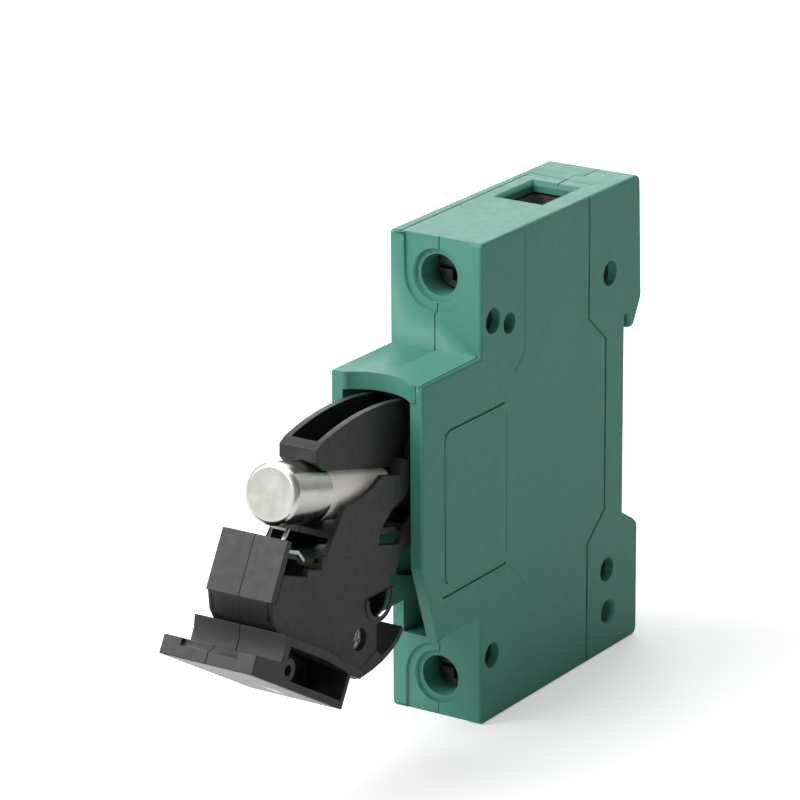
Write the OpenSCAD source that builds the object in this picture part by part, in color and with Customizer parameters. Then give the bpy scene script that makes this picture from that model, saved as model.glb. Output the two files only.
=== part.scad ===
// DIN rail fuse holder for one 10 x 38 mm cylindrical fuse, one pole, shown with its carrier swung open.
// Pieces are drawn from the lower front corner of the terminal blocks, and placed() moves them so that
// the origin is the middle of the rail seat. X runs across the pole, +Y towards the rail, +Z up.

/* [Housing] */
// Width of one pole along the rail
pole_w = 18; // [17.6:0.1:20]
// Height of the housing from bottom face to top face
body_h = 84.5; // [83:0.5:90]
// Depth from the terminal fronts to the rail seat
seat_y = 46.4; // [46:0.2:50]
// Height of each terminal block
term_h = 19.5; // [19:0.1:20.5]
// How far the middle section stands out in front of the terminals
nose_y = 17.8; // [17.4:0.1:18]
// Gap between the side walls of the middle section
mouth_w = 13.2; // [13.2:0.1:13.8]
// Thickness of the roof over the carrier
roof_t = 1.7; // [1.4:0.1:1.9]
// Height of the top of the floor under the carrier
floor_z = 13.8; // [13:0.1:14.2]
// Height of the open rail slot between lower ledge and upper notch
rail_slot = 36; // [35.4:0.1:36.4]
// Height of the rail that clips in
rail_h = 35; // [34.6:0.1:35]

/* [Terminals] */
// Distance of each terminal screw from the nearer end face
screw_in = 6.8; // [6.6:0.1:7]
// Thread diameter of the terminal screws
screw_d = 5; // [4:0.1:5.2]
// Head diameter of the terminal screws
screw_head_d = 6.6; // [6.2:0.1:6.8]
// Clear diameter of the screwdriver holes
access_d = 7.2; // [7:0.1:7.6]
// Width of the wire entries
entry_w = 9; // [7:0.5:9]
// Length of the wire entries towards the rail
entry_l = 12; // [10:0.5:12]
// Thickness of the contact bars
bar_t = 1.6; // [1.2:0.1:1.8]
// Width of the contact bars
bar_w = 8; // [6:0.2:8.2]

/* [Fuse] */
// Diameter of the fuse caps
fuse_d = 10.3; // [10:0.1:10.4]
// Length of the fuse over its caps
fuse_l = 38; // [37:0.5:38.5]
// Length of each cap
cap_l = 10.5; // [8:0.5:11]
// Lean of the fuse from upright when the carrier is shut, in degrees
fuse_lean = 15.4; // [15:0.1:16]

/* [Carrier] */
// Opening angle of the carrier, in degrees
open_deg = 60; // [60:1:60]
// Width over the carrier side plates
carrier_w = 12.4; // [12:0.1:12.6]
// Thickness of the carrier side plates
plate_t = 0.9; // [0.8:0.1:1]
// Width of the handle in front of the housing
handle_w = 17.8; // [17:0.1:18]
// Diameter of the pins that the carrier turns on
pin_d = 3; // [2.6:0.1:3.2]
// Running clearance of the pins on radius
pin_gap = 0.06; // [0.03:0.01:0.1]
// Width over the curved arm behind the fuse
arm_w = 7.4; // [6.6:0.1:7.6]

/* [Rail latch] */
// Width of the rail latch
latch_w = 8; // [6:0.2:9]
// Thickness of the rail latch
latch_t = 2.4; // [2:0.1:2.6]

/* [Hidden] */
$fn = 48;
eps = 0.02;
gap = 0.3;
half_w = pole_w / 2;
mouth_x = mouth_w / 2;
nose_top = body_h - term_h;
ceiling_z = nose_top - roof_t;
lintel_z = 62;
mid_z = body_h / 2;
ledge_z = mid_z - rail_slot / 2;
notch_z = mid_z + rail_slot / 2;
rail_bottom = mid_z - rail_h / 2;
base_y = seat_y + 5.1;
upper_screw_z = body_h - screw_in;
lower_screw_z = screw_in;
// Depths in the terminal chambers
head_y = 6;
head_t = 4;
chamber_y0 = 13.6;
chamber_y1 = 40.6;
bar_y = 26.6;
cage_y0 = 22.8;
cage_y1 = 39.6;
cage_w = 10.4;
cage_h = 8.8;
cage_wall = 1.6;
cage_travel = 6.5;
chamber_h = cage_h + 0.8;
screw_tip_y = bar_y - 0.1;
entry_y = cage_y0 + 3.2;
// The fuse, its middle and the direction of its axis with the carrier shut
fuse_c = [7.9, mid_z + 0.1];
fuse_r = fuse_d / 2;
fuse_u = [-sin(fuse_lean), cos(fuse_lean)];
fuse_v = [-cos(fuse_lean), -sin(fuse_lean)];
tube_r = fuse_r - 0.4;
bore_r = 3;
// The pins and the curved track that they ride in
pin_r = pin_d / 2;
pin_shut = [8.7, 24];
track_c = [8.5, mid_z + 4.54];
track_turn = 75.7;
track_r = norm(pin_shut - track_c);
track_a0 = atan2(pin_shut[1] - track_c[1], pin_shut[0] - track_c[0]);
track_a1 = track_a0 - track_turn;
pin_open = track_c + track_r * [cos(track_a1), sin(track_a1)];
track_deep = 1.4;
track_gap = 0.1;
plate_x = carrier_w / 2;
plate_in = plate_x - plate_t;
hub_r = pin_r + 1.1;
// The front of the carrier with the carrier shut
handle_x = handle_w / 2;
web_y = -nose_y - gap;
front_y = -26;
handle_top = 65.3;
handle_foot = 36.6;
lip_y = -22.8;
front_t = 1.3;
flange_t = 1.4;
screw_hole = [-14, 32.6];
boss_c = [-6.3, 30.3];
boss_r = 4.2;
boss_floor_x = plate_in - 2.6;
post_c = [-23.2, 54.6];
rivet_spots = [[3.6, 70.6], [41.2, 69.2], [41, 15.2], [3.3, 11.7]];
rivet_d = 2.2;
rivet_bore = 2.3;
link_spots = [[8.7, 68.9], [41.5, 7.1]];
rivet_hole = 4.4;
link_hole = 3.7;
arm_c = [-24.6, 18.4];
arm_r = 53;

// Placing

module placed() translate([0, -seat_y, -mid_z]) children();

// Carrier pieces are drawn shut, and this swings them open about their pins
module opened() {
    placed()
        translate([0, pin_open[0], pin_open[1]])
            rotate([open_deg, 0, 0])
                translate([0, -pin_shut[0], -pin_shut[1]])
                    children();
}

// A side profile, given as (y, z), with thickness from x0 to x1
module slab(x0, x1) {
    translate([x0, 0, 0])
        rotate([90, 0, 90])
            linear_extrude(x1 - x0)
                children();
}

// A round bar across the pole, at (y, z), from x0 to x1
module across(p, d, x0, x1) {
    translate([x0, p[0], p[1]])
        rotate([0, 90, 0])
            cylinder(d = d, h = x1 - x0);
}

// A round bar from front to back, at (x, z), from y0 to y1
module inward(x, z, d, y0, y1) {
    translate([x, y0, z])
        rotate([-90, 0, 0])
            cylinder(d = d, h = y1 - y0);
}

module box(x0, x1, y0, y1, z0, z1) {
    translate([x0, y0, z0])
        cube([x1 - x0, y1 - y0, z1 - z0]);
}

// Puts a piece drawn along +Z on the fuse's axis, with z = 0 at the middle of the fuse
module on_fuse() {
    translate([0, fuse_c[0], fuse_c[1]])
        rotate([fuse_lean, 0, 0])
            children();
}

// A point of the side profile, along the fuse and out in front of it
function by_fuse(along, ahead) = fuse_c + along * fuse_u + ahead * fuse_v;

// The section that a round wire has in a level cut through its coil
function coil_section(r, wire, pitch) = let(
    half = wire / 2,
    reach = half / pitch * 360,
    steps = [-1 : 0.5 : 1],
    depth = function(t) half * sqrt(max(0, 1 - t * t)))
    concat(
        [for (t = steps) (r + depth(t)) * [cos(t * reach), sin(t * reach)]],
        [for (t = [0.5 : -0.5 : -0.5]) (r - depth(t)) * [cos(t * reach), sin(t * reach)]]);

module coil(r, wire, length, turns) {
    linear_extrude(length, twist = -360 * turns, slices = 9 * turns)
        polygon(coil_section(r, wire, length / turns));
}

// Housing

module housing_profile() {
    polygon([
        [0, 0], [base_y, 0], [base_y, ledge_z - 3.4], [seat_y + 3.9, ledge_z - 2.3],
        [seat_y, ledge_z], [seat_y, notch_z], [seat_y + 1.3, notch_z],
        [seat_y + 1.5, notch_z - 2.6], [seat_y + 2.9, notch_z - 2.7], [seat_y + 5.6, notch_z + 2.2],
        [seat_y + 4.8, body_h], [0, body_h], [0, nose_top], [-nose_y, nose_top],
        [-nose_y, term_h + 14], [-nose_y + 4.8, term_h], [0, term_h]]);
}

// The hollow that the carrier swings in, open to the front
module carrier_hollow() {
    slab(-eps, mouth_x)
        polygon([
            [-30, floor_z], [20, floor_z], [23, term_h], [seat_y - 8, term_h + 2],
            [seat_y - 2, ledge_z + 3], [seat_y - 2, notch_z - 3], [seat_y - 7, ceiling_z],
            [-nose_y + 3.6, ceiling_z], [-nose_y + 3.6, lintel_z], [-30, lintel_z]]);
}

// A shallow curved notch in the front edge of the roof
module roof_notch() {
    translate([0, -nose_y - 7, ceiling_z - 5])
        cylinder(r = 9.6, h = 10);
}

// Screwdriver hole, screw head room, cage chamber and wire entry, for a screw at height zs
module terminal_hollow(zs, end_z) {
    side = end_z > zs ? 1 : -1;
    inward(0, zs, 9.4, -1, 1.3);
    inward(0, zs, access_d, 0, head_y - 1);
    inward(0, zs, access_d + 0.4, head_y - 1 - eps, head_y + head_t + 0.6);
    inward(0, zs, screw_d + 0.5, head_y, chamber_y0 + 1);
    box(-cage_w / 2 - gap, cage_w / 2 + gap, chamber_y0, chamber_y1,
        zs - chamber_h / 2, zs + chamber_h / 2);
    box(-entry_w / 2, entry_w / 2, entry_y, entry_y + entry_l,
        min(zs, end_z + side), max(zs, end_z + side));
    front_u(zs, side);
}

// The stepped U on the front of a terminal block, open towards its end face
module front_u(zs, side) {
    translate([0, 0.5, zs])
        rotate([90, 0, 0])
            linear_extrude(2) {
                circle(r = 6.2);
                translate([-6.2, side > 0 ? 0 : -5.4])
                    square([12.4, 5.4]);
            }
}

module bar_channels() {
    box(-bar_w / 2 - 0.1, bar_w / 2 + 0.1, bar_y - 0.1, bar_y + bar_t + 0.1,
        ceiling_z - 1, upper_screw_z);
    box(-mouth_x, mouth_x, 0.6, bar_y + bar_t + 0.1, ceiling_z - 1, ceiling_z + bar_t + 0.5);
    box(-bar_w / 2 - 0.1, bar_w / 2 + 0.1, bar_y - 0.1, bar_y + bar_t + 0.1,
        lower_screw_z, term_h + 3);
}

// The blind curved track in the inner face of a side wall
module pin_track() {
    reach = pin_r + track_gap;
    translate([mouth_x - 1, track_c[0], track_c[1]])
        rotate([90, 0, 90])
            rotate([0, 0, track_a1])
                rotate_extrude(angle = track_a0 - track_a1)
                    translate([track_r - reach, 0])
                        square([2 * reach, 1 + track_deep]);
    // A wider and deeper seat for the pin at each end
    for (p = [pin_shut, pin_open])
        across(p, 2 * reach + 0.1, mouth_x - 1, mouth_x + track_deep + 0.1);
}

// The room for the rail latch and its spring, up the back of the lower block
module latch_room() {
    box(-latch_w / 2 - 0.2, latch_w / 2 + 0.2, seat_y + 1.1, seat_y + 1.5 + latch_t, -1, ledge_z + 1);
    box(-2.6, 2.6, seat_y - 3.6, seat_y + 1.2, 4, 16.6);
}

module side_marks() {
    // The step line that follows the rail end of the side face
    deep = 0.3;
    line = [[seat_y - 12.1, -1], [seat_y - 12.1, 22], [seat_y - 6.4, 26.7], [seat_y - 6.4, 57.8],
        [seat_y - 12.1, 62.8], [seat_y - 12.1, body_h + 1]];
    translate([half_w - deep, 0, 0])
        for (i = [0 : len(line) - 2])
            slab(0, 1)
                stroke(line[i], line[i + 1], 0.5);
    // The sunk panel at the front, left bare
    slab(half_w - deep, half_w + 1)
        difference() {
            panel_outline(0.25);
            panel_outline(-0.25);
        }
}

module stroke(a, b, w) {
    d = b - a;
    n = [-d[1], d[0]] / norm(d) * w / 2;
    e = d / norm(d) * w / 2;
    polygon([a + n - e, b + n + e, b - n + e, a - n - e]);
}

module panel_outline(grow) {
    translate([-11 - grow, 29 - grow])
        square([19 + 2 * grow, 28.5 + 2 * grow]);
}

module rivet_bores() {
    for (p = rivet_spots) {
        across(p, rivet_bore, -1, half_w + 1);
        across(p, rivet_hole, half_w - 2.2, half_w + 1);
    }
    for (p = link_spots)
        across(p, link_hole, -1, half_w + 1);
}

module housing_half() {
    difference() {
        slab(0, half_w)
            housing_profile();
        carrier_hollow();
        roof_notch();
        terminal_hollow(upper_screw_z, body_h);
        terminal_hollow(lower_screw_z, 0);
        bar_channels();
        pin_track();
        latch_room();
        side_marks();
        rivet_bores();
    }
}

module housing_right() {
    color("#4b7a6c")
        placed()
            housing_half();
}

module housing_left() {
    color("#4b7a6c")
        placed()
            mirror([1, 0, 0])
                housing_half();
}

// Hollow rivets that hold the two halves together
module housing_rivets() {
    color("silver")
        placed()
            for (p = rivet_spots)
                difference() {
                    union() {
                        across(p, rivet_d, 2.4 - half_w, half_w - 2.4);
                        for (x = [2.2 - half_w, half_w - 3])
                            across(p, 0.1, x, x + 0.8);
                        across(p, rivet_hole - 0.2, half_w - 2.2, half_w - 1.6);
                        across(p, rivet_hole - 0.2, 1.6 - half_w, 2.2 - half_w);
                        across(p, rivet_d, 1.7 - half_w, half_w - 1.7);
                    }
                    across(p, rivet_d - 0.8, -half_w, half_w);
                }
}

// Rail latch

module latch_profile() {
    y0 = seat_y + 1.3;
    y1 = y0 + latch_t;
    top = rail_bottom + 1.7;
    polygon([[y0, 3.3], [y1, 3.3], [y1, top - 1.8], [y0 + 0.7, top], [y0, top]]);
}

module rail_latch() {
    color("#2f3331")
        placed()
            difference() {
                union() {
                    slab(-latch_w / 2, latch_w / 2)
                        latch_profile();
                    box(-2.2, 2.2, seat_y - 2.6, seat_y + 1.4, 14.4, 16);
                }
                box(-2, 2, seat_y, seat_y + 6, 5, 7);
            }
}

module latch_spring() {
    color("silver")
        placed()
            translate([0, seat_y - 1.4, 4.1])
                coil(1.5, 0.5, 10.1, 6);
}

// Terminals

// A box clamp with a wire window and a threaded front wall, for a screw at height zs
module terminal_cage(zs) {
    color("#c9c7bd")
        placed()
            difference() {
                box(-cage_w / 2, cage_w / 2, cage_y0, cage_y1, zs - cage_h / 2, zs + cage_h / 2);
                box(-cage_w / 2 + cage_wall - 0.4, cage_w / 2 - cage_wall + 0.4,
                    cage_y0 + 3.2, cage_y1 - cage_wall, zs - cage_h, zs + cage_h);
                inward(0, zs, screw_d + 0.04, cage_y0 - 1, cage_y0 + 4);
            }
}

module upper_terminal_cage() {
    terminal_cage(upper_screw_z);
}

module lower_terminal_cage() {
    terminal_cage(lower_screw_z);
}

module terminal_screw(zs) {
    color("silver")
        placed()
            difference() {
                union() {
                    inward(0, zs, screw_head_d, head_y, head_y + head_t);
                    inward(0, zs, screw_d - 0.06, head_y + head_t - eps, screw_tip_y);
                }
                box(-screw_head_d, screw_head_d, head_y - 1, head_y + 1.1, zs - 0.45, zs + 0.45);
                box(-0.45, 0.45, head_y - 1, head_y + 1.6, zs - 2.2, zs + 2.2);
            }
}

module upper_terminal_screw() {
    terminal_screw(upper_screw_z);
}

module lower_terminal_screw() {
    terminal_screw(lower_screw_z);
}

// Contacts

// Two curved blades that grip the back of a cap between two heights
module jaw_blades(z0, z1, clear_x) {
    inner = fuse_r + 0.06;
    intersection() {
        on_fuse()
            difference() {
                cylinder(r = inner + 0.8, h = fuse_l + 20, center = true);
                cylinder(r = inner, h = fuse_l + 22, center = true);
            }
        difference() {
            box(-mouth_x, mouth_x, 0, 30, z0, z1);
            box(-clear_x, clear_x, -1, 31, z0 - 1, z1 + 1);
            on_fuse()
                translate([-10, -20, -40])
                    cube([20, 20.8, 80]);
        }
    }
}

// A leaf that backs the two blades of a jaw
module jaw_spring(z0, z1, clear_x) {
    inner = fuse_r + 0.9;
    color("#8d8f8c")
        placed()
            intersection() {
                on_fuse()
                    difference() {
                        cylinder(r = inner + 0.3, h = fuse_l + 20, center = true);
                        cylinder(r = inner, h = fuse_l + 22, center = true);
                    }
                difference() {
                    box(-mouth_x, mouth_x, 0, 30, z0, z1);
                    box(-clear_x, clear_x, -1, 31, z0 - 1, z1 + 1);
                    on_fuse()
                        translate([-10, -20, -40])
                            cube([20, 21.2, 80]);
                }
            }
}

module upper_contact() {
    top = upper_screw_z + cage_h / 2 - 0.3;
    sill = ceiling_z + 0.3;
    color("#c98f5a")
        placed() {
            box(-bar_w / 2, bar_w / 2, bar_y, bar_y + bar_t, sill, top);
            box(-bar_w / 2, bar_w / 2, 0.9, bar_y + eps, sill, sill + bar_t);
            box(-mouth_x + 0.3, mouth_x - 0.3, 0.9, 10, sill, sill + bar_t);
            jaw_blades(52.5, sill + eps, arm_w / 2 + 0.3);
        }
}

module lower_contact() {
    low = lower_screw_z - cage_h / 2 + 0.3;
    sill = term_h + 0.5;
    color("#c98f5a")
        placed() {
            box(-bar_w / 2, bar_w / 2, bar_y, bar_y + bar_t, low, sill + bar_t);
            box(-bar_w / 2, bar_w / 2, 14, bar_y + eps, sill, sill + bar_t);
            box(-mouth_x + 0.3, mouth_x - 0.3, 14, 20.5, sill, sill + bar_t);
            jaw_blades(sill + bar_t - eps, 30, 0.8);
        }
}

module upper_jaw_spring() {
    jaw_spring(55.5, 58.5, arm_w / 2 + 0.3);
}

module lower_jaw_spring() {
    jaw_spring(24, 27, 0.8);
}

// Carrier

// Two stub pins that slide in the curved tracks and carry the carrier
module carrier_pins() {
    color("silver")
        placed()
            for (x = [plate_in + 0.04, -mouth_x - track_deep + 0.1])
                across(pin_open, pin_d, x, x + mouth_x + track_deep - 0.14 - plate_in);
}

module plate_profile() {
    difference() {
        union() {
            polygon([
                [-9.4, 60.8], [-14.1, 61], [-16.9, 59], [web_y, 57], [web_y, 44.8], [-18.6, 38.6],
                [-19.2, 33.2], [-18.6, 30.2], [-14.5, 26.8], [-10.3, 28.9], [-3.8, 27.7],
                [-2.6, 29.2], [-1.9, 27.5], [1.8, 27.4], [pin_shut[0] - 1, pin_shut[1] - hub_r],
                [pin_shut[0], pin_shut[1] + hub_r], [2.9, 29.4], [1.4, 34.9], [3.8, 35.6],
                [7.5, 33.9], [10.7, 30.9], [13.4, 30.3], [14.4, 31.4], [12.9, 36.4], [12.1, 39.5],
                [9.5, 41.4], [7.1, 44.1], [5.6, 46.2], [5, 47.9],
                [0.2, 48.7], [-3.7, 49.2], [-4.1, 50.2], [-6, 49.5], [-6.9, 53.5], [-8, 53]]);
            translate(pin_shut)
                circle(r = hub_r);
        }
        translate(pin_shut)
            circle(r = pin_r + pin_gap);
        translate(screw_hole)
            circle(d = 3.8);
        d_shape(boss_r - 0.9);
    }
}

// The D of the side bosses, flat side up and back
module d_shape(r) {
    translate(boss_c)
        rotate([0, 0, -60.7])
            difference() {
                circle(r = r);
                translate([-r - 1, 0.2 * r])
                    square(2 * r + 2);
            }
}

// Walls that run along the front of the fuse and stop its lower end
module cradle_profile() {
    polygon([
        by_fuse(9, fuse_r + 0.35), by_fuse(-20.3, fuse_r + 0.35), by_fuse(-20.3, fuse_r + 0.3),
        by_fuse(-19.2, fuse_r + 0.3), by_fuse(-19.2, fuse_r - 2.6), by_fuse(-20.4, fuse_r - 2.6),
        by_fuse(-20.4, fuse_r + 1.5), by_fuse(9, fuse_r + 1.5)]);
}

module roof_profile() {
    polygon([
        [-3.9, 61.6], [-14.1, 61.4], [-16.9, 59.2], [web_y, 57], [web_y, 50], [-16.7, 50],
        [-16.7, 56.6], [-15.9, 58.4], [-13.7, 60], [-3.9, 60.3]]);
}

module roof_end() {
    polygon([[-3.9, 61.6], [-14.1, 61.4], [-14.1, 60], [-3.9, 60.3]]);
}

// Where the plates reach the arm, behind the fuse
module lug_profile() {
    polygon([[12.6, 31.1], [13.4, 30.6], [16.6, 31.3], [16.2, 34], [13.4, 34.4], [12.8, 36]]);
}

module carrier_half() {
    difference() {
        union() {
            slab(plate_in, plate_x)
                plate_profile();
            slab(plate_x - eps, plate_x + 0.2)
                difference() {
                    d_shape(boss_r);
                    d_shape(boss_r - 0.9);
                }
            slab(0, plate_in + eps)
                difference() {
                    union() {
                        cradle_profile();
                        roof_profile();
                        front_wall_profile();
                    }
                    spring_gaps();
                }
            // The roof's ends lie over the plates
            slab(plate_in, plate_x + 0.1)
                roof_end();
            // The bosses are closed on the inside
            slab(boss_floor_x, boss_floor_x + 0.6)
                d_shape(boss_r - 0.3);
            slab(boss_floor_x, plate_in + eps)
                difference() {
                    d_shape(boss_r - 0.3);
                    d_shape(boss_r - 0.9);
                }
            slab(arm_w / 2 + 0.02, plate_x)
                lug_profile();
            across(screw_hole, 5.4, 0, plate_in + eps);
        }
        across(screw_hole, 2.2, -1, plate_x + 1);
        across(screw_hole, 3.8, plate_in - 0.6, plate_x + 1);
        on_fuse()
            cylinder(r = fuse_r + 0.25, h = fuse_l, center = true);
    }
}

// Where the contact springs reach through the cradle wall
module spring_gaps() {
    translate(by_fuse(-13.2, fuse_r + 1))
        circle(r = 1.7);
}

module front_wall_profile() {
    polygon([
        [web_y, 50.2], [web_y, 44.8], [-18.6, 38.6], [-19.2, 33.2], [-18, 33.2],
        [-17.4, 38.6], [-16.9, 44.8], [-16.9, 50.2]]);
}

module carrier_right() {
    color("#34383a")
        opened()
            carrier_half();
}

module carrier_left() {
    color("#34383a")
        opened()
            mirror([1, 0, 0])
                carrier_half();
}

// The curved double fin behind the fuse
module fuse_arm() {
    rib = 1.2;
    color("#34383a")
        opened()
            difference() {
                union() {
                    for (x = [-arm_w / 2, arm_w / 2 - rib])
                        slab(x, x + rib)
                            arm_profile();
                    slab(-arm_w / 2, arm_w / 2)
                        intersection() {
                            arm_profile();
                            polygon([by_fuse(14, -30), by_fuse(14, 0), by_fuse(-14, 0),
                                by_fuse(-14, -7.1), by_fuse(11, -7.1)]);
                        }
                    slab(-arm_w / 2, arm_w / 2)
                        polygon([[17, 32], [19.4, 32], [18.4, 39.6], [15, 39]]);
                }
                on_fuse()
                    cylinder(r = fuse_r + 0.3, h = 2 * fuse_l, center = true);
            }
}

module arm_profile() {
    difference() {
        intersection() {
            translate(arm_c)
                circle(r = arm_r, $fn = 160);
            polygon([by_fuse(12.2, -5.2), by_fuse(12.7, -7.4), [15.6, 54], [24, 47], [28.6, 36],
                [27.8, 31.2], [25.4, 29.6], [21, 29.8], [20, 30.9], [15, 30.9],
                by_fuse(-8.6, -3.2), by_fuse(9.8, -3.6)]);
        }
    }
}

// Handle, the full width front of the carrier

module handle_section() {
    polygon([
        [web_y, 58.6], [-20.2, 57.8], [-22.4, 57.7], [lip_y, handle_top], [front_y, handle_top],
        [front_y, handle_foot], [-20.3, handle_foot], [-20.3, 33.4], [-19.2, 33.2], [-18.6, 38.6],
        [web_y, 44.8]]);
}

module handle_pocket() {
    polygon([
        [web_y - flange_t, 56.4], [-20.6, 56.3], [front_y + front_t, 56.2],
        [front_y + front_t, handle_foot + 1], [-20.2, handle_foot + 1], [-20, 38.6],
        [web_y - flange_t, 44.8]]);
}

module handle_half() {
    web = 0.9;
    difference() {
        union() {
            difference() {
                slab(0, handle_x)
                    handle_section();
                slab(web, handle_x + 1)
                    handle_pocket();
            }
            across(post_c, 4, 0, handle_x - 0.5);
        }
        across(post_c, 1.8, web, handle_x);
        // The finger scoop inside the lip
        translate([0, lip_y + 1.6, handle_top + 1.4])
            rotate([0, 90, 0])
                cylinder(r = 3.2, h = 5.4);
        // The seat of the blank label and the lamp window
        box(-1, handle_x - 1, front_y - 1, front_y + 0.2, handle_foot + 1, handle_top - 1);
        box(-1, 1.5, front_y - 1, front_y + front_t + 2, 41, 46);
    }
}

module handle_right() {
    color("#3a3e40")
        opened()
            handle_half();
}

module handle_left() {
    color("#3a3e40")
        opened()
            mirror([1, 0, 0])
                handle_half();
}

// A plain silver plate let into the front, left bare
module front_label() {
    color("#b9bcbc")
        opened()
            difference() {
                box(-handle_x + 1.1, handle_x - 1.1, front_y, front_y + 0.2,
                    handle_foot + 1.1, handle_top - 1.1);
                box(-1.6, 1.6, front_y - 1, front_y + 1, 40.9, 46.1);
            }
}

module indicator_window() {
    color("#b5403a")
        opened()
            union() {
                box(-1.45, 1.45, front_y, front_y + front_t, 41.05, 45.95);
            }
}

// The thin curved wall that closes the slanted gap under the handle
module carrier_skirt() {
    color("#34383a")
        opened()
            slab(-plate_x, plate_x)
                polygon([
                    [-19.2, 33.18], [-20.3, 33.38], [-20.3, 30.6], [-19.4, 28.4], [-17.7, 26],
                    [-15.8, 23.8], [-13.8, 22], [-11.8, 20.8], [-9.7, 20.1], [-9.2, 21],
                    [-11.3, 21.8], [-13.2, 22.9], [-14.9, 24.6], [-14.5, 26.78], [-18.6, 30.18]]);
}

module carrier_rivet() {
    color("silver")
        opened()
            for (s = [0, 1])
                mirror([s, 0, 0]) {
                    across(screw_hole, 2.1, -eps, plate_in);
                    across(screw_hole, 3.5, plate_in - 0.58, plate_in + 0.1);
                }
}

// Indicator

board_ahead = fuse_r + 5.2;
board_c = by_fuse(0, board_ahead);
wire_d = 0.5;
spring_x = 1.75;

module indicator_board() {
    color("#262c29")
        opened()
            slab(-4.6, 4.6)
                translate(board_c)
                    rotate([0, 0, fuse_lean])
                        square([0.8, 22], center = true);
}

module indicator_lamp() {
    color("#c2463e")
        opened()
            translate([0, front_y + front_t + 0.1, 43.5])
                rotate([-90, 0, 0]) {
                    cylinder(r = 0.75, h = 1.5);
                }
}

module indicator_resistor() {
    color("#c8ad85")
        opened()
            translate([-2.4, by_fuse(4, fuse_r + 6.6)[0], by_fuse(4, fuse_r + 6.6)[1]])
                rotate([0, 90, 0])
                    cylinder(r = 0.85, h = 4.8);
}

// A bent wire that stands on the board and presses its bridge on a cap
module contact_spring(along) {
    foot = by_fuse(along + 1.4, board_ahead - 0.8);
    tip = by_fuse(along - 0.8, fuse_r + 0.5);
    color("silver")
        opened() {
            for (x = [-spring_x, spring_x])
                slab(x - wire_d / 2, x + wire_d / 2)
                    stroke(foot, tip, wire_d);
            slab(-spring_x, spring_x)
                translate(tip)
                    rotate([0, 0, fuse_lean])
                        square(0.8 * wire_d, center = true);
        }
}

module upper_contact_spring() {
    contact_spring(16);
}

module lower_contact_spring() {
    contact_spring(-13.2);
}

// The bent wire that joins the upper spring to the board
module contact_wire() {
    bend = [[-5.1, 58], [-4.8, 55.2], [-5.5, 53.2]];
    color("silver")
        opened()
            slab(4.5 - wire_d / 2, 4.5 + wire_d / 2)
                union() {
                    stroke(bend[0], bend[1], wire_d);
                    stroke(bend[1], bend[2], wire_d);
                }
}

// Fuse

module cap_shape() {
    round_r = 1;
    rotate_extrude($fn = 64)
        difference() {
            union() {
                square([fuse_r, cap_l - round_r]);
                square([fuse_r - round_r, cap_l]);
                translate([fuse_r - round_r, cap_l - round_r])
                    circle(r = round_r, $fn = 24);
            }
            translate([-1, -1])
                square([fuse_r - 0.4 + 1, cap_l + 0.4]);
            translate([-3, -3])
                square(3);
        }
}

module fuse_cap_top() {
    color("#d9dadb")
        opened()
            on_fuse()
                translate([0, 0, fuse_l / 2 - cap_l])
                    cap_shape();
}

module fuse_cap_bottom() {
    color("#d9dadb")
        opened()
            on_fuse()
                rotate([180, 0, 0])
                    translate([0, 0, fuse_l / 2 - cap_l])
                        cap_shape();
}

module fuse_tube() {
    color("#e9e4d8")
        opened()
            on_fuse()
                difference() {
                    cylinder(r = tube_r, h = fuse_l - 1.4, center = true);
                    cylinder(r = bore_r, h = fuse_l, center = true);
                }
}

module fuse_element() {
    color("silver")
        opened()
            on_fuse()
                cube([0.8, 0.3, fuse_l - 1.4], center = true);
}

module fuse_sand() {
    color("#cbb994")
        opened()
            on_fuse()
                difference() {
                    cylinder(r = bore_r, h = fuse_l - 1.4, center = true);
                    cube([0.8, 0.3, fuse_l], center = true);
                }
}

housing_right();
housing_left();
housing_rivets();
rail_latch();
latch_spring();
upper_terminal_cage();
lower_terminal_cage();
upper_terminal_screw();
lower_terminal_screw();
upper_contact();
lower_contact();
upper_jaw_spring();
lower_jaw_spring();
carrier_pins();
carrier_right();
carrier_left();
fuse_arm();
handle_right();
handle_left();
front_label();
carrier_skirt();
carrier_rivet();
indicator_board();
indicator_lamp();
indicator_resistor();
indicator_window();
upper_contact_spring();
lower_contact_spring();
contact_wire();
fuse_tube();
fuse_cap_top();
fuse_cap_bottom();
fuse_element();
fuse_sand();
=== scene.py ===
import math
import bpy
from mathutils import Matrix, Vector


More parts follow.
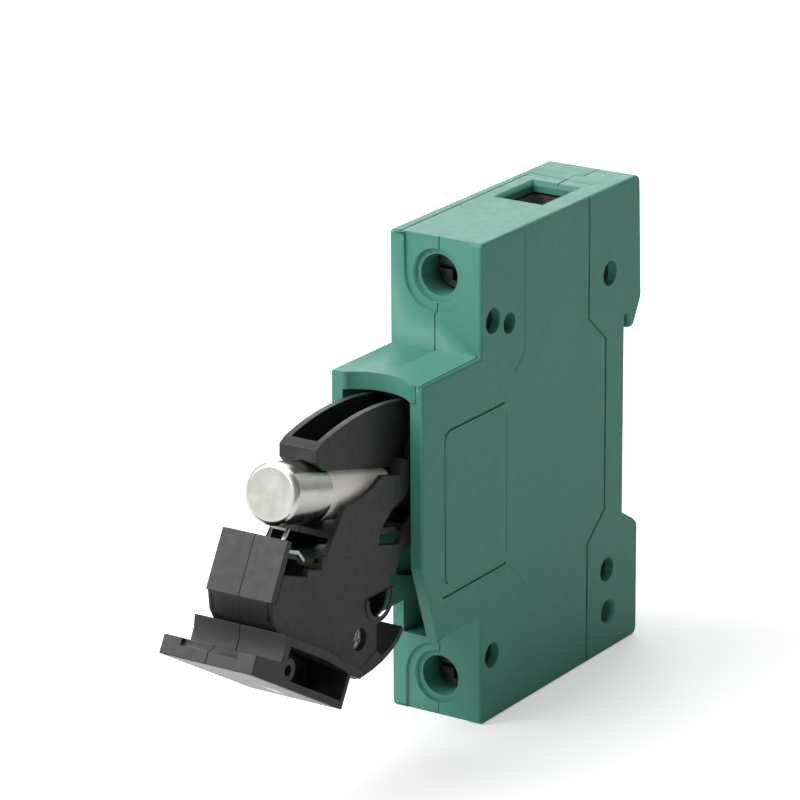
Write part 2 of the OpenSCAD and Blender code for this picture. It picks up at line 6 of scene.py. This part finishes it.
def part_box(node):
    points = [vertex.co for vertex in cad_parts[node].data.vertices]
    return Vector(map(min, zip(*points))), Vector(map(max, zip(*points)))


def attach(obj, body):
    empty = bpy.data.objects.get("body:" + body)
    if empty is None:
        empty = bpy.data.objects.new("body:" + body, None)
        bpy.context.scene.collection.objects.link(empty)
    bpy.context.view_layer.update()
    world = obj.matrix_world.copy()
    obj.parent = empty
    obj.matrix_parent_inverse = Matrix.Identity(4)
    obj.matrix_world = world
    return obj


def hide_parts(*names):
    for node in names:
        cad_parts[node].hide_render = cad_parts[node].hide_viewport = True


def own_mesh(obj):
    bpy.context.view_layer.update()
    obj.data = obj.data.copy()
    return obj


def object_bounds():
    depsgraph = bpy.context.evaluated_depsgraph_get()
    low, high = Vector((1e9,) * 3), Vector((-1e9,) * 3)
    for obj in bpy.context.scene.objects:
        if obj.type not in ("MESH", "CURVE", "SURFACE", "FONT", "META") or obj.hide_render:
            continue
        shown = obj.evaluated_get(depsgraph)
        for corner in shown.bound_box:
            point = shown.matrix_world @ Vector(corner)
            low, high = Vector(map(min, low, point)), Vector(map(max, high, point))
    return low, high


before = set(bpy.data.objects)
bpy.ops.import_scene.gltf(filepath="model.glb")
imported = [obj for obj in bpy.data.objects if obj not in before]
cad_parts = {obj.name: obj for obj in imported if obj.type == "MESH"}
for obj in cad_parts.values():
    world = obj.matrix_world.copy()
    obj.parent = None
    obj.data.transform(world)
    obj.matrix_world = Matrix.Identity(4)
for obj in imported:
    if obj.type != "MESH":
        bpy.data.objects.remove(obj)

cad_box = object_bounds()

# Housing halves
# Two mirrored shells of green glass-filled plastic, injection moulded with a fine spark-eroded skin,
# that meet on the centre line and are riveted together through the side faces.

MM = 0.001
HALF_WIDTH = 9           # one side of the parting plane, in millimetres
HEIGHT = 84.5            # of the terminal blocks, in millimetres
SKIN_GAP = 0.002 * MM    # keeps the outer form clear of the frame's own faces
SMALL_ROUND = 0.12 * MM  # edges of the carrier's plates


def srgb(r, g, b):
    """A colour seen on the surface, 0 to 255, as the linear value that a shader takes."""
    def linear(c):
        c /= 255
        return c / 12.92 if c <= 0.04045 else ((c + 0.055) / 1.055) ** 2.4
    return (linear(r), linear(g), linear(b), 1.0)


def new_material(name):
    """An empty material with its shader, its node tree and a function that joins two sockets."""
    material = bpy.data.materials.new(name)
    material.use_nodes = True
    tree = material.node_tree
    shader = tree.nodes["Principled BSDF"]
    place = tree.nodes.new("ShaderNodeTexCoord").outputs["Object"]
    return material, tree, shader, place


def noise(tree, place, scale, detail=3.0, stretch=(1, 1, 1)):
    mapping = tree.nodes.new("ShaderNodeMapping")
    mapping.inputs["Scale"].default_value = stretch
    tree.links.new(place, mapping.inputs["Vector"])
    texture = tree.nodes.new("ShaderNodeTexNoise")
    texture.inputs["Scale"].default_value = scale
    texture.inputs["Detail"].default_value = detail
    tree.links.new(mapping.outputs["Vector"], texture.inputs["Vector"])
    return texture.outputs["Fac"]


def spread(tree, value, low, high, source=(0.3, 0.7)):
    """Maps a pattern's middle range onto low to high."""
    ramp = tree.nodes.new("ShaderNodeMapRange")
    ramp.inputs["From Min"].default_value = source[0]
    ramp.inputs["From Max"].default_value = source[1]
    ramp.inputs["To Min"].default_value = low
    ramp.inputs["To Max"].default_value = high
    tree.links.new(value, ramp.inputs["Value"])
    return ramp.outputs["Result"]


def two_tone(tree, value, first, second):
    mix = tree.nodes.new("ShaderNodeMix")
    mix.data_type = "RGBA"
    mix.inputs["A"].default_value = first
    mix.inputs["B"].default_value = second
    tree.links.new(value, mix.inputs["Factor"])
    return mix.outputs["Result"]


def bump(tree, shader, value, depth, strength=1.0, under=None):
    node = tree.nodes.new("ShaderNodeBump")
    node.inputs["Distance"].default_value = depth
    node.inputs["Strength"].default_value = strength
    tree.links.new(value, node.inputs["Height"])
    if under is not None:
        tree.links.new(under, node.inputs["Normal"])
    tree.links.new(node.outputs["Normal"], shader.inputs["Normal"])
    return node.outputs["Normal"]


def moulded_plastic(name, colour, shade, rough, grain, specular=0.5):
    """Moulded plastic: slow drift of colour, a fine eroded grain and faint flow marks."""
    material, tree, shader, place = new_material(name)
    drift = noise(tree, place, 90, 4)
    tree.links.new(two_tone(tree, spread(tree, drift, 0, 1), colour, shade),
                   shader.inputs["Base Color"])
    tree.links.new(spread(tree, noise(tree, place, 700, 2), rough - 0.05, rough + 0.06),
                   shader.inputs["Roughness"])
    shader.inputs["Specular IOR Level"].default_value = specular
    coarse = bump(tree, shader, noise(tree, place, 160, 2), 0.00003, 0.4)
    bump(tree, shader, noise(tree, place, grain, 2), 0.00003, 0.5, coarse)
    return material


green_plastic = moulded_plastic("green_plastic", srgb(71, 134, 118), srgb(70, 132, 116), 0.5, 3600, 0.3)


def at(x, y, z):
    """A point measured from the lower front corner of the terminal blocks, in millimetres."""
    return Vector((x, y - 46.4, z - 42.25)) * MM


def outline_piece(name, points, along):
    """A closed outline drawn point by point, then pushed out into a solid."""
    bpy.ops.object.select_all(action="DESELECT")
    bpy.ops.mesh.primitive_plane_add(size=MM, location=points[0])
    piece = bpy.context.object
    piece.name = name
    bpy.ops.object.transform_apply(location=True)
    bpy.ops.object.mode_set(mode="EDIT")
    bpy.ops.mesh.select_mode(type="VERT")
    bpy.ops.mesh.select_all(action="SELECT")
    bpy.ops.mesh.merge(type="CENTER")
    for a, b in zip(points, points[1:]):
        bpy.ops.mesh.extrude_region_move(TRANSFORM_OT_translate={"value": b - a})
    bpy.ops.mesh.select_all(action="SELECT")
    bpy.ops.mesh.edge_face_add()
    bpy.ops.mesh.extrude_region_move(TRANSFORM_OT_translate={"value": along})
    bpy.ops.mesh.select_all(action="SELECT")
    bpy.ops.mesh.normals_make_consistent(inside=False)
    bpy.ops.object.mode_set(mode="OBJECT")
    return piece


def groove_cutter(points, width, depth, outward):
    """A thin wall that follows points on the skin and reaches into it, to cut a groove."""
    rise = Vector(outward) * 0.4 * MM
    bpy.ops.object.select_all(action="DESELECT")
    bpy.ops.mesh.primitive_plane_add(size=MM, location=points[0] + rise)
    wall = bpy.context.object
    bpy.ops.object.transform_apply(location=True)
    bpy.ops.object.mode_set(mode="EDIT")
    bpy.ops.mesh.select_mode(type="VERT")
    bpy.ops.mesh.select_all(action="SELECT")
    bpy.ops.mesh.merge(type="CENTER")
    for a, b in zip(points, points[1:]):
        bpy.ops.mesh.extrude_region_move(TRANSFORM_OT_translate={"value": b - a})
    bpy.ops.mesh.select_all(action="SELECT")
    bpy.ops.mesh.extrude_region_move(
        TRANSFORM_OT_translate={"value": -Vector(outward) * (0.4 + depth) * MM})
    bpy.ops.object.mode_set(mode="OBJECT")
    thick = wall.modifiers.new("thick", "SOLIDIFY")
    thick.thickness = width * MM
    thick.offset = 0
    thick.use_even_offset = True
    bpy.ops.object.modifier_apply(modifier="thick")
    bpy.ops.object.mode_set(mode="EDIT")
    bpy.ops.mesh.select_all(action="SELECT")
    bpy.ops.mesh.normals_make_consistent(inside=False)
    bpy.ops.object.mode_set(mode="OBJECT")
    return wall


def block(low, high):
    """A plain box between two corners, to cut or fill with."""
    bpy.ops.object.select_all(action="DESELECT")
    bpy.ops.mesh.primitive_cube_add(size=1, location=(low + high) / 2, scale=high - low)
    box = bpy.context.object
    bpy.ops.object.transform_apply(location=True, rotation=True, scale=True)
    return box


def joined(pieces):
    bpy.ops.object.select_all(action="DESELECT")
    for piece in pieces:
        piece.select_set(True)
    bpy.context.view_layer.objects.active = pieces[0]
    bpy.ops.object.join()
    return pieces[0]


def carve(piece, tool, operation, crossing=False):
    """Cuts, fills or trims a piece with a tool, which stays for the next piece."""
    bpy.ops.object.select_all(action="DESELECT")
    piece.select_set(True)
    bpy.context.view_layer.objects.active = piece
    step = piece.modifiers.new("carve", "BOOLEAN")
    step.operation = operation
    step.solver = "EXACT"
    step.use_self = crossing
    step.object = tool
    bpy.ops.object.modifier_apply(modifier="carve")


def merge_skin(piece, whole_faces=True):
    """Joins points that lie on each other, and the faces that lie in one plane."""
    bpy.ops.object.mode_set(mode="EDIT")
    bpy.ops.mesh.select_mode(type="VERT")
    bpy.ops.mesh.select_all(action="SELECT")
    bpy.ops.mesh.remove_doubles(threshold=0.001 * MM)
    if whole_faces:
        bpy.ops.mesh.dissolve_limited(angle_limit=math.radians(0.4))
    bpy.ops.object.mode_set(mode="OBJECT")


def discard(*tools):
    for tool in tools:
        bpy.data.objects.remove(tool)


def node_copy(node, material):
    """A copy of a CAD node's skin with its loose triangles joined."""
    bpy.ops.object.select_all(action="DESELECT")
    bpy.context.view_layer.objects.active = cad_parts[node]
    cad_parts[node].select_set(True)
    bpy.ops.object.duplicate()
    piece = bpy.context.object
    piece.name = node + "_shell"
    piece.data.name = piece.name
    for key in list(piece.keys()):
        del piece[key]
    piece.data.materials.clear()
    piece.data.materials.append(material)
    merge_skin(piece, whole_faces=False)
    return piece


def ease_edges(piece, width, clear=2.5):
    """Rounds the sharp edges as a mould leaves them, away from details finer than the rounding."""
    bpy.ops.object.select_all(action="DESELECT")
    piece.select_set(True)
    bpy.context.view_layer.objects.active = piece
    bpy.ops.object.mode_set(mode="EDIT")
    bpy.ops.mesh.select_mode(type="EDGE")
    bpy.ops.mesh.select_all(action="DESELECT")
    bpy.ops.mesh.edges_select_sharp(sharpness=math.radians(28))
    bpy.ops.object.mode_set(mode="OBJECT")
    corners = piece.data.vertices
    fine = set()
    for edge in piece.data.edges:
        a, b = edge.vertices
        if (corners[a].co - corners[b].co).length < clear * width:
            fine.update((a, b))
    for edge in piece.data.edges:
        a, b = edge.vertices
        parting = max(abs(corners[a].co.x), abs(corners[b].co.x)) < 0.01 * MM
        if a in fine or b in fine or parting:
            edge.select = False
    lowest = [min(corner.co[axis] for corner in corners) for axis in range(3)]
    highest = [max(corner.co[axis] for corner in corners) for axis in range(3)]
    bpy.ops.object.mode_set(mode="EDIT")
    bpy.ops.mesh.bevel(offset=width, segments=2, affect="EDGES", clamp_overlap=False,
                       loop_slide=False)
    bpy.ops.object.mode_set(mode="OBJECT")
    for corner in piece.data.vertices:
        corner.co = [min(max(c, a), b) for c, a, b in zip(corner.co, lowest, highest)]


def finish_piece(piece, body, slot, *nodes):
    """Smooths the shading within each face and hands the piece to its body."""
    bpy.ops.object.select_all(action="DESELECT")
    piece.select_set(True)
    bpy.context.view_layer.objects.active = piece
    bpy.ops.object.shade_smooth_by_angle(angle=math.radians(32))
    even = piece.modifiers.new("even", "WEIGHTED_NORMAL")
    even.keep_sharp = True
    even.weight = 80
    bpy.ops.object.modifier_apply(modifier="even")
    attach(piece, body)
    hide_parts(*nodes)
    return piece


def moulded_copy(node, material, body, slot, width, clear=2.5):
    piece = node_copy(node, material)
    merge_skin(piece)
    ease_edges(piece, width, clear)
    return finish_piece(piece, body, slot, node)


# The outer form, with the corners as round as the mould has them
rim = [at(-HALF_WIDTH, y, z) for y, z in (
    (0, 0), (51.5, 0), (51.5, 20.85), (50.3, 21.95), (46.4, 24.25), (46.4, 60.25), (47.7, 60.25),
    (47.9, 57.65), (49.3, 57.55), (52, 62.45), (51.2, 84.5), (0, 84.5), (0, 65), (-17.8, 65),
    (-17.8, 33.5), (-13, 19.5), (0, 19.5))]
envelope = outline_piece("envelope", rim, Vector((2 * HALF_WIDTH * MM, 0, 0)))
bpy.ops.object.mode_set(mode="EDIT")
bpy.ops.transform.shrink_fatten(value=SKIN_GAP, use_even_offset=True)
bpy.ops.object.mode_set(mode="OBJECT")


def round_corners(points, width, segments):
    """Rounds the edges of the outer form that run across the pole at the given places."""
    bpy.ops.object.mode_set(mode="EDIT")
    bpy.ops.mesh.select_mode(type="EDGE")
    bpy.ops.mesh.select_all(action="DESELECT")
    bpy.ops.object.mode_set(mode="OBJECT")
    corners = envelope.data.vertices
    for edge in envelope.data.edges:
        a, b = (corners[i].co for i in edge.vertices)
        across = abs(a.x - b.x) > 10 * MM
        edge.select = across and any((a - at(a.x / MM, *p)).length < 0.1 * MM for p in points)
    bpy.ops.object.mode_set(mode="EDIT")
    bpy.ops.mesh.bevel(offset=width, segments=segments, affect="EDGES", clamp_overlap=True)
    bpy.ops.object.mode_set(mode="OBJECT")


round_corners([(51.5, 0), (51.2, 84.5)], 1.3 * MM, 6)
round_corners([(0, 0), (0, 84.5), (51.5, 20.85), (50.3, 21.95), (49.3, 57.55), (52, 62.45)],
              0.7 * MM, 4)
bpy.ops.object.mode_set(mode="EDIT")
bpy.ops.mesh.select_all(action="DESELECT")
bpy.ops.object.mode_set(mode="OBJECT")
for edge in envelope.data.edges:
    ends = [envelope.data.vertices[i].co.x for i in edge.vertices]
    edge.select = abs(ends[0] - ends[1]) < 0.01 * MM
bpy.ops.object.mode_set(mode="EDIT")
bpy.ops.mesh.bevel(offset=0.5 * MM, segments=4, affect="EDGES", clamp_overlap=True)
bpy.ops.object.mode_set(mode="OBJECT")

# The square panel line of the frame is filled and the real, rounded one is cut instead
fills = {"housing_right": block(at(8.5, -11.6, 28.4), at(HALF_WIDTH, 8.6, 58.1)),
         "housing_left": block(at(-HALF_WIDTH, -11.6, 28.4), at(-8.5, 8.6, 58.1))}

# The front plane is closed beside the parting line, up to the nose
front_wall = block(at(1, 0, 13.5), at(8.6, 1.2, 19.7))

FRONT, TOP, BACK, UNDER = (0, -1, 0), (0, 0, 1), (0, 1, 0), (0, 0, -1)


def line_on_front(points, y=0):
    return [at(x, y, z) for x, z in points]


def line_on_top(points, z=HEIGHT):
    return [at(x, y, z) for x, y in points]


cutters = [
    # The parting line of the halves steps sideways where the tongue and groove lie
    groove_cutter(line_on_front([(0.45, 85), (0.45, 82.3), (0.75, 81.6)]), 0.2, 0.8, FRONT),
    groove_cutter(line_on_front([(0.52, 74.4), (0.5, 73.4), (0.15, 72.8), (0.1, 71.9), (-0.1, 71.2),
                                 (-0.1, 64.9)]), 0.2, 0.8, FRONT),
    groove_cutter(line_on_front([(0.45, 14.4), (0.45, 12.9), (0.3, 11.4)]), 0.2, 0.8, FRONT),
    groove_cutter(line_on_front([(0.35, 2.8), (0.07, 2.3), (0.06, -0.4)]), 0.2, 0.8, FRONT),
    groove_cutter(line_on_top([(0.3, 37.6), (0.3, 39.9), (-0.3, 44), (1.45, 44.6), (1.3, 51.6)]),
                  0.2, 0.35, TOP),
    groove_cutter([at(0, 51.6, 84), at(0, 52.4, 62)], 0.2, 0.5, BACK),
    groove_cutter([at(0, 0, 0), at(0, 24, 0)], 0.2, 0.35, UNDER),
    # The long step on the end face, and the same on the other end
    groove_cutter(line_on_top([(-6.9, 0.4), (-7.4, 41.7), (5.3, 41)]), 0.28, 0.35, TOP),
    groove_cutter([at(-6.9, 0.4, 0), at(-7.4, 41.7, 0), at(5.3, 41, 0)], 0.28, 0.35, UNDER),
    # The roof is a leaf of one half that is let into the other
    groove_cutter(line_on_top([(8.3, -18.2), (8, 0.2)], 65), 0.24, 0.4, TOP),
    groove_cutter([at(7.7, -17.8, z) for z in (65.3, 61.9)] + [at(6.4, -17.8, 61.9)], 0.2, 0.3, FRONT)]
for s in (1, -1):
    side = (s, 0, 0)
    skin = HALF_WIDTH * s
    cutters += [
        groove_cutter([at(skin, y, z) for y, z in (
            (-10.3, 28.9), (-10.9, 29.3), (-11.07, 30), (-11.07, 53.9), (-10.7, 54.8), (-9.8, 55.35),
            (-9, 55.4), (7.2, 55.4))], 0.4, 0.35, side),
        groove_cutter([at(skin, 7.9, z) for z in (53.8, 28.5)], 0.16, 0.07, side),
        groove_cutter([at(skin, y, z) for y, z in ((-11.9, 26.7), (7.7, 26.9))], 0.4, 0.35, side),
        groove_cutter([at(skin, y, z) for y, z in ((8.1, 26.6), (13.75, 21.3))], 0.16, 0.07, side),
        groove_cutter([at(skin, y, z) for y, z in ((13.6, 83.5), (13.6, 62.9), (10.4, 59.7))],
                      0.16, 0.06, side)]
    # The lower link hole is countersunk
    bpy.ops.object.select_all(action="DESELECT")
    bpy.ops.mesh.primitive_cone_add(
        vertices=48, radius1=2.4 * MM, radius2=1.8 * MM, depth=0.6 * MM,
        location=at(8.75 * s, 41.5, 7.1), rotation=(0, math.radians(-90 * s), 0))
    bpy.ops.object.transform_apply(location=True, rotation=True, scale=True)
    cutters.append(bpy.context.object)
cutter = joined(cutters)

# The U on each terminal front is open at its end face, and the wire entries have a lip
lips = [block(at(-6.2, -1, 82), at(6.2, 0.5, 86)), block(at(-6.2, -1, -1.5), at(6.2, 0.5, 2))]
for end, inner in ((84.6, 83.6), (-0.1, 0.9)):
    lip = block(at(-4.5, 26, min(end, inner)), at(4.5, 38, max(end, inner)))
    bpy.ops.object.mode_set(mode="EDIT")
    bpy.ops.mesh.select_mode(type="FACE")
    bpy.ops.mesh.select_all(action="DESELECT")
    bpy.ops.object.mode_set(mode="OBJECT")
    for face in lip.data.polygons:
        face.select = abs(face.center.z - at(0, 0, end).z) < 0.01 * MM
    bpy.ops.object.mode_set(mode="EDIT")
    bpy.ops.transform.resize(value=(1.1, 1.06, 1))
    bpy.ops.object.mode_set(mode="OBJECT")
    lips.append(lip)
lip_cutter = joined(lips)

for node in ("housing_right", "housing_left"):
    housing = node_copy(node, green_plastic)
    carve(housing, fills[node], "UNION")
    if node == "housing_right":
        carve(housing, front_wall, "UNION")
    carve(housing, envelope, "INTERSECT")
    carve(housing, lip_cutter, "DIFFERENCE")
    merge_skin(housing)
    carve(housing, cutter, "DIFFERENCE", crossing=True)
    merge_skin(housing, whole_faces=False)
    finish_piece(housing, "housing", "housing_green", node)
discard(*fills.values(), front_wall, envelope, cutter, lip_cutter)

# Carrier, arm and handle
# Black plastic mouldings of the same kind, glued and riveted in pairs, with a slightly polished skin
# that shows pale edges where the light catches them.

black_plastic = moulded_plastic("black_plastic", srgb(41, 42, 42), srgb(37, 38, 38), 0.44, 4200, 0.28)

for node in ("carrier_right", "carrier_left"):
    moulded_copy(node, black_plastic, "carrier", "black_plastic", SMALL_ROUND, 4)
for node in ("fuse_arm", "carrier_skirt", "handle_right", "handle_left"):
    moulded_copy(node, black_plastic, "carrier", "black_plastic", 0.15 * MM)

# Rail latch
# One black moulding that slides in guides in the back of the lower block. Its spring pushes it up, and
# its beak hooks behind the lower edge of the rail.

moulded_copy("rail_latch", black_plastic, "rail_latch", "black_plastic", 0.2 * MM)

# Metal pieces
# Screws, cages, springs and rivets of zinc plated steel, stamped contacts of tinned copper and drawn
# caps of bright nickel. They lie in pockets of the housing and the carrier.


METAL_MARK = 0.00001


def plated_metal(name, colour, rough, grain=900, stretch=(1, 1, 1)):
    """Plated metal: bright, with fine handling marks that scatter the highlight."""
    material, tree, shader, place = new_material(name)
    shader.inputs["Metallic"].default_value = 1.0
    marks = noise(tree, place, grain, 4, stretch)
    dark = tuple(c * 0.92 for c in colour[:3]) + (1.0,)
    tree.links.new(two_tone(tree, spread(tree, noise(tree, place, 260, 3), 0, 1), colour, dark),
                   shader.inputs["Base Color"])
    tree.links.new(spread(tree, marks, rough - 0.06, rough + 0.08), shader.inputs["Roughness"])
    bump(tree, shader, marks, METAL_MARK, 0.4)
    return material


zinc_steel = plated_metal("zinc_steel", srgb(176, 176, 172), 0.34)
tinned_copper = plated_metal("tinned_copper", srgb(206, 178, 142), 0.35)
nickel = plated_metal("nickel", srgb(204, 203, 198), 0.2, 420)

# The terminal screws and the rivets sit deep in holes. Their steel is darkened here as painted shade,
# standing in for the shadow inside those holes
steel_with_painted_hole_shade = plated_metal("steel_with_painted_hole_shade", srgb(96, 97, 95), 0.36, 1400)


def dress(material, *nodes):
    """Gives CAD nodes whose shape is right a better material."""
    for node in nodes:
        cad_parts[node].data.materials.clear()
        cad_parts[node].data.materials.append(material)


dress(zinc_steel, "upper_terminal_cage", "lower_terminal_cage", "upper_jaw_spring",
      "lower_jaw_spring", "carrier_pins", "upper_contact_spring", "lower_contact_spring", "contact_wire")
# The screws and rivets take the steel with painted hole shade
dress(steel_with_painted_hole_shade, "housing_rivets", "upper_terminal_screw", "lower_terminal_screw")
dress(tinned_copper, "upper_contact", "lower_contact")

# The latch's spring is copied with a mesh of its own; on the real part it shortens as the latch is
# pulled down
latch_spring = node_copy("latch_spring", zinc_steel)
low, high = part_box("latch_spring")
finish_piece(latch_spring, "housing", "steel", "latch_spring")
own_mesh(latch_spring)

# The screw that joins the carrier's plates has a cross in each head
cross_screw = node_copy("carrier_rivet", zinc_steel)
low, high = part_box("carrier_rivet")
middle = (Vector(low) + Vector(high)) / 2
slots = []
for end in (low[0], high[0]):
    for turned in (50, 140):
        bpy.ops.object.select_all(action="DESELECT")
        bpy.ops.mesh.primitive_cube_add(
            size=1, location=(end, middle.y, middle.z), scale=(0.9 * MM, 2.3 * MM, 0.5 * MM),
            rotation=(math.radians(turned), 0, 0))
        bpy.ops.object.transform_apply(location=True, rotation=True, scale=True)
        slots.append(bpy.context.object)
slot_cutter = joined(slots)
carve(cross_screw, slot_cutter, "DIFFERENCE", crossing=True)
discard(slot_cutter)
merge_skin(cross_screw)
ease_edges(cross_screw, 0.08 * MM)
finish_piece(cross_screw, "carrier", "steel", "carrier_rivet")

# Fuse
# A glazed ceramic tube filled with quartz sand, closed by two nickel plated caps that are pressed on.
# The element runs through the sand from cap to cap.

moulded_copy("fuse_cap_top", nickel, "fuse", "nickel", 0.08 * MM)
moulded_copy("fuse_cap_bottom", nickel, "fuse", "nickel", 0.08 * MM)
ceramic, tree, shader, place = new_material("ceramic")
tree.links.new(two_tone(tree, noise(tree, place, 300, 4), srgb(250, 246, 237), srgb(240, 235, 225)),
               shader.inputs["Base Color"])
shader.inputs["Roughness"].default_value = 0.42
bump(tree, shader, noise(tree, place, 1500, 3), 0.00002, 0.5)
quartz = moulded_plastic("quartz_sand", srgb(196, 186, 164), srgb(150, 140, 118), 0.8, 2600)
dress(ceramic, "fuse_tube")
dress(quartz, "fuse_sand")
dress(tinned_copper, "fuse_element")

# Label plate
# A plain satin aluminium plate, stamped from thin sheet and glued into the recess of the handle's
# front. It carries no print.

label_metal = plated_metal("label_metal", srgb(150, 152, 152), 0.5, 1200, (1, 8, 8))
dress(label_metal, "front_label")

# Indicator
# A dark laminate board with a small red lamp and its series resistor soldered on, held between the
# carrier's plates. A clear red window of moulded plastic sits in the label plate.

laminate = moulded_plastic("laminate", srgb(30, 44, 38), srgb(26, 38, 33), 0.5, 1800)
resistor_body = moulded_plastic("resistor_body", srgb(196, 170, 128), srgb(184, 156, 114), 0.35, 1200)
lamp_red = moulded_plastic("lamp_red", srgb(168, 40, 34), srgb(150, 32, 28), 0.2, 1200)
clear_red, tree, shader, place = new_material("clear_red")
shader.inputs["Base Color"].default_value = srgb(196, 70, 60)
shader.inputs["Transmission Weight"].default_value = 0.5
shader.inputs["IOR"].default_value = 1.49
tree.links.new(spread(tree, noise(tree, place, 900, 2), 0.12, 0.2), shader.inputs["Roughness"])
dress(laminate, "indicator_board")
dress(resistor_body, "indicator_resistor")
dress(lamp_red, "indicator_lamp")
dress(clear_red, "indicator_window")

# Floor and light
# A white table under large soft lamps, as in a product picture. The table keeps the shadow, and the
# world behind it is white for the camera.


def lamp(name, place, target, size, power):
    data = bpy.data.lights.new(name, "AREA")
    data.shape = "RECTANGLE"
    data.size, data.size_y = size
    data.energy = power
    light = bpy.data.objects.new(name, data)
    bpy.context.scene.collection.objects.link(light)
    light.location = place
    light.rotation_euler = (Vector(target) - Vector(place)).to_track_quat("-Z", "Y").to_euler()


floor_z = cad_box[0][2]
bpy.ops.object.select_all(action="DESELECT")
bpy.ops.mesh.primitive_plane_add(size=2.4, location=(0, 0, floor_z))
floor = bpy.context.object
floor.name = "floor"
floor_white, tree, shader, place = new_material("floor_white")
shader.inputs["Base Color"].default_value = (0.9, 0.9, 0.9, 1)
shader.inputs["Roughness"].default_value = 0.9
# The camera sees the floor brighter than the light that it gives to the part
seen = tree.nodes.new("ShaderNodeLightPath")
tree.links.new(seen.outputs["Is Camera Ray"], shader.inputs["Emission Strength"])
shader.inputs["Emission Color"].default_value = (0.35, 0.35, 0.35, 1)
floor.data.materials.append(floor_white)

lamp("key", (-0.55, -0.75, 0.75), (0, -0.03, 0), (1.0, 1.0), 17)
lamp("fill", (0.9, -0.5, 0.35), (0, -0.03, 0), (0.7, 0.7), 0.2)
lamp("back", (-0.52, 0.79, 0.36), (0, 0, 0.04), (0.8, 0.4), 2.6)
lamp("top", (-0.25, 0.05, 0.9), (0, 0, 0), (1.3, 1.3), 5)

world = bpy.data.worlds.new("studio")
bpy.context.scene.world = world
world.use_nodes = True
sky = world.node_tree.nodes["Background"]
sky.inputs["Color"].default_value = (1, 1, 1, 1)
ray = world.node_tree.nodes.new("ShaderNodeLightPath")
direction = world.node_tree.nodes.new("ShaderNodeTexCoord")
parts = world.node_tree.nodes.new("ShaderNodeSeparateXYZ")
world.node_tree.links.new(direction.outputs["Generated"], parts.inputs["Vector"])


def world_value(operation, a, b):
    step = world.node_tree.nodes.new("ShaderNodeMath")
    step.operation = operation
    for socket, value in zip(step.inputs, (a, b)):
        if isinstance(value, float):
            socket.default_value = value
        else:
            world.node_tree.links.new(value, socket)
    return step.outputs["Value"]


# In reflections the white background fades towards the right, where the studio is open and darker
fade = spread(world.node_tree, parts.outputs["X"], 1.0, 0.25, (0.0, 0.6))
mirrored = world_value("MAXIMUM", ray.outputs["Is Glossy Ray"], ray.outputs["Is Transmission Ray"])
reflected = world_value("MULTIPLY", mirrored, fade)
plain = world_value("SUBTRACT", 1.0, world_value("MAXIMUM", mirrored, ray.outputs["Is Camera Ray"]))
level = world_value("ADD", world_value("ADD", reflected, ray.outputs["Is Camera Ray"]),
                    world_value("MULTIPLY", plain, 0.2))
world.node_tree.links.new(level, sky.inputs["Strength"])

# Camera
# A long lens that looks down on the front right corner, as the photograph does. Its place and turn
# were fitted to the corners of the device in the picture.

view_azimuth = math.radians(33.369)
view_elevation = math.radians(18.347)
view_roll = math.radians(-0.331)
lens_mm = 208.0
camera_place = Vector((395.6, -611.4 - 46.4, 297.85 - 42.25)) * MM

back = Vector((math.sin(view_azimuth) * math.cos(view_elevation),
               -math.cos(view_azimuth) * math.cos(view_elevation), math.sin(view_elevation)))
right = Vector((math.cos(view_azimuth), math.sin(view_azimuth), 0))
up = back.cross(right)
turn = Matrix((right, up, back)).transposed().to_4x4() @ Matrix.Rotation(view_roll, 4, "Z")
camera_data = bpy.data.cameras.new("camera")
camera_data.lens = lens_mm
camera_data.sensor_width = 36
camera_data.clip_start = 0.01
camera = bpy.data.objects.new("camera", camera_data)
bpy.context.scene.collection.objects.link(camera)
camera.matrix_world = Matrix.Translation(camera_place) @ turn
bpy.context.scene.camera = camera
bpy.context.scene.view_settings.view_transform = "Standard"
